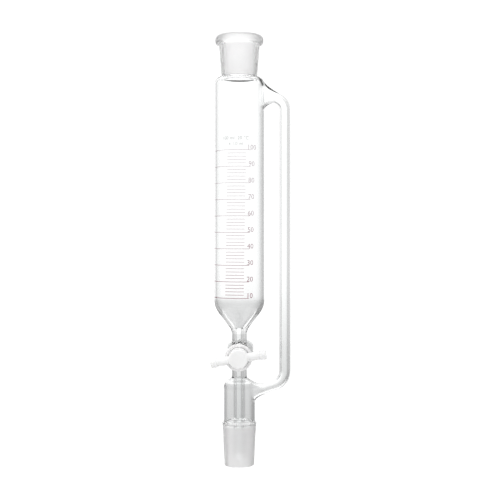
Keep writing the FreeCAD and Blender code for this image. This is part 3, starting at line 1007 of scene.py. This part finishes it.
def scale_lines():
    """Ten long lines and the short ones between them, as one thin closed print."""
    shell = Shell()
    for i in range(5 * 9 + 1):
        long = i % 5 == 0
        start, end = LONG_LINE if long else SHORT_LINE
        height = LINE_WIDTH / 2 * (1.1 if long else 1)
        v = SCALE_TOP_Z - i * SCALE_PITCH / 5 - PRINT_MIDDLE_Z
        steps = max(2, math.ceil((end - start) / LINE_STEP))
        rings = []
        for k in range(steps + 1):
            u = start + (end - start) * k / steps
            corners = ((v - height, PRINT_GAP), (v + height, PRINT_GAP),
                       (v + height, PRINT_GAP + PRINT_THICKNESS), (v - height, PRINT_GAP + PRINT_THICKNESS))
            rings.append(shell.add([on_reservoir(u, *corner) for corner in corners]))
        for first, second in zip(rings, rings[1:]):
            shell.bridge(first, second)
        shell.face(tuple(rings[0]))
        shell.face(tuple(rings[-1]))
    return shell.made("scale_lines", "glassware", [SCALE_ENAMEL])


def lettering(name, words, size, material):
    """Words bent onto the glass: (text, middle u, baseline v) each, as one thin closed print."""
    work = bmesh.new()
    for text, middle_u, base_v in words:
        curve = bpy.data.curves.new(name, "FONT")
        curve.body = text
        curve.size = size
        curve.align_x = "CENTER"
        curve.extrude = PRINT_THICKNESS / 2
        curve.resolution_u = 3
        writer = bpy.data.objects.new(name, curve)
        bpy.context.scene.collection.objects.link(writer)
        bpy.context.view_layer.update()
        flat = bpy.data.meshes.new_from_object(writer)
        bpy.data.objects.remove(writer)
        letters = bmesh.new()
        letters.from_mesh(flat)
        bpy.data.meshes.remove(flat)
        bmesh.ops.remove_doubles(letters, verts=letters.verts, dist=0.0005)
        edges = [v.co.x for v in letters.verts]
        cut = math.ceil(min(edges) / LETTER_STEP) * LETTER_STEP
        while cut < max(edges):
            parts = letters.verts[:] + letters.edges[:] + letters.faces[:]
            bmesh.ops.bisect_plane(letters, geom=parts, plane_co=(cut, 0, 0), plane_no=(1, 0, 0))
            cut += LETTER_STEP
        for vert in letters.verts:
            place = on_reservoir(middle_u + vert.co.x, base_v + vert.co.y,
                                 PRINT_GAP + PRINT_THICKNESS / 2 + vert.co.z)
            vert.co = Vector(place * MM)
        bent = bpy.data.meshes.new(name)
        letters.to_mesh(bent)
        letters.free()
        work.from_mesh(bent)
        bpy.data.meshes.remove(bent)
    bmesh.ops.recalc_face_normals(work, faces=work.faces)
    mesh = bpy.data.meshes.new(name)
    work.to_mesh(mesh)
    work.free()
    mesh.materials.append(material)
    piece = bpy.data.objects.new(name, mesh)
    bpy.context.scene.collection.objects.link(piece)
    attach(piece, "glassware")
    return piece


def scale_numbers():
    """The volume at each long line, in millilitres."""
    words = [(str(100 - 10 * i), NUMBER_U, SCALE_TOP_Z - i * SCALE_PITCH + NUMBER_RISE - PRINT_MIDDLE_Z)
             for i in range(10)]
    return lettering("scale_numbers", words, NUMBER_SIZE, SCALE_ENAMEL)


# --- Build ----------------------------------------------------------------------------------------------

socket_joint()
reservoir()
stopcock_barrel()
drip_tube()
drip_chamber()
cone_joint()
side_arm()
stopcock_key()
seal_washer()
seal_o_ring()
key_nut()
scale_lines()
scale_numbers()
for name, text, (middle_u, base_z), size in (
    ("capacity_words", "100 ml  20 \u00b0C", CAPACITY_PLACE, CAPACITY_SIZE),
    ("tolerance_words", "\u00b1 1.0 ml", TOLERANCE_PLACE, TOLERANCE_SIZE),
):
    lettering(name, [(text, middle_u, base_z - PRINT_MIDDLE_Z)], size, PALE_ENAMEL)

# --- Camera, light and floor ----------------------------------------------------------------------------

CAMERA_AZIMUTH = math.radians(1.2)
CAMERA_DISTANCE = 0.672
CAMERA_LENS = 66.93
CAMERA_RISE = 0.00464
AIM = Vector((0.0077, 0, 0.15536))
PANEL_TURN = math.radians(-8)
FLOOR_R = 0.45
FLOOR_Z = -0.2
FLOOR_SIDES = 96
BACKDROP_LIGHT = 1.1

camera_data = bpy.data.cameras.new("camera")
camera_data.lens = CAMERA_LENS
camera = bpy.data.objects.new("camera", camera_data)
bpy.context.scene.collection.objects.link(camera)
camera.location = AIM + Vector((math.sin(CAMERA_AZIMUTH), -math.cos(CAMERA_AZIMUTH), 0)) * CAMERA_DISTANCE
camera.location.z += CAMERA_RISE
camera.rotation_euler = (AIM - camera.location).to_track_quat("-Z", "Y").to_euler()
bpy.context.scene.camera = camera


def studio_world():
    """Bright panels in four directions, grey between them on the far side, and a panel overhead."""
    world = bpy.data.worlds.new("studio")
    bpy.context.scene.world = world
    world.use_nodes = True
    tree = world.node_tree
    background = tree.nodes["Background"]
    background.inputs["Color"].default_value = (1, 1, 1, 1)
    coordinates = tree.nodes.new("ShaderNodeTexCoord")
    turned = tree.nodes.new("ShaderNodeMapping")
    turned.inputs["Rotation"].default_value = (0, 0, PANEL_TURN)
    split = tree.nodes.new("ShaderNodeSeparateXYZ")
    tree.links.new(coordinates.outputs["Generated"], turned.inputs["Vector"])
    tree.links.new(turned.outputs["Vector"], split.inputs["Vector"])

    def maths(operation, first, second):
        """One sum of two numbers or node outputs."""
        node = tree.nodes.new("ShaderNodeMath")
        node.operation = operation
        for socket, value in zip(node.inputs, (first, second)):
            if isinstance(value, (int, float)):
                socket.default_value = value
            else:
                tree.links.new(value, socket)
        return node.outputs["Value"]

    def eased(value, start, end, low, high):
        """Smooth step from low to high while a value goes from start to end."""
        node = tree.nodes.new("ShaderNodeMapRange")
        node.interpolation_type = "SMOOTHSTEP"
        for name, number in (("From Min", start), ("From Max", end), ("To Min", low), ("To Max", high)):
            node.inputs[name].default_value = number
        tree.links.new(value, node.inputs["Value"])
        return node.outputs["Result"]

    x, y, z = (split.outputs[name] for name in "XYZ")
    x2 = maths("MULTIPLY", x, x)
    y2 = maths("MULTIPLY", y, y)
    level = maths("MAXIMUM", maths("ADD", x2, y2), 0.0001)
    product = maths("MULTIPLY", maths("MULTIPLY", x2, y2), 4)
    # 0 towards each panel, 1 halfway between two.
    between = maths("DIVIDE", product, maths("MULTIPLY", level, level))
    bright = maths("MULTIPLY", eased(x, -0.9, 0.9, 1.22, 0.98), eased(y, -0.8, 0.2, 1.15, 1))
    dim = eased(x, -0.5, 0.5, 0.72, 0.6)
    share = maths("MULTIPLY", eased(between, 0.15, 0.65, 0, 1), eased(y, -0.3, 0.2, 0.25, 1))
    panels = maths("MULTIPLY", bright, maths("SUBTRACT", 1, share))
    around = maths("ADD", panels, maths("MULTIPLY", dim, share))
    lowered = maths("MULTIPLY", around, eased(z, -0.2, 0.0, 0.6, 1))
    lifted = maths("MULTIPLY", lowered, eased(z, 0.05, 0.4, 1, 1.15))
    studio = maths("ADD", lifted, eased(z, 0.5, 0.8, 0, 0.5))
    path = tree.nodes.new("ShaderNodeLightPath")
    direct = path.outputs["Is Camera Ray"]
    lit = maths("MULTIPLY", studio, maths("SUBTRACT", 1, direct))
    shown = maths("ADD", lit, maths("MULTIPLY", direct, BACKDROP_LIGHT))
    tree.links.new(shown, background.inputs["Strength"])
    return world


studio_world()

floor_mesh = bpy.data.meshes.new("floor")
floor_rim = [(FLOOR_R * math.cos(a), FLOOR_R * math.sin(a), FLOOR_Z)
             for a in (2 * math.pi * k / FLOOR_SIDES for k in range(FLOOR_SIDES))]
floor_mesh.from_pydata(floor_rim, [], [tuple(range(FLOOR_SIDES))])
floor = bpy.data.objects.new("floor", floor_mesh)
bpy.context.scene.collection.objects.link(floor)
floor_material, floor_tree, floor_shader = new_material("floor_paper")
tinted(floor_tree, floor_shader, noise(floor_tree, 3), (0.78, 0.78, 0.78), (0.82, 0.82, 0.82))
floor_shader.inputs["Roughness"].default_value = 0.8
floor_mesh.materials.append(floor_material)

bpy.context.scene.view_settings.view_transform = "Standard"
bpy.context.scene.cycles.max_bounces = 32
bpy.context.scene.cycles.transmission_bounces = 32
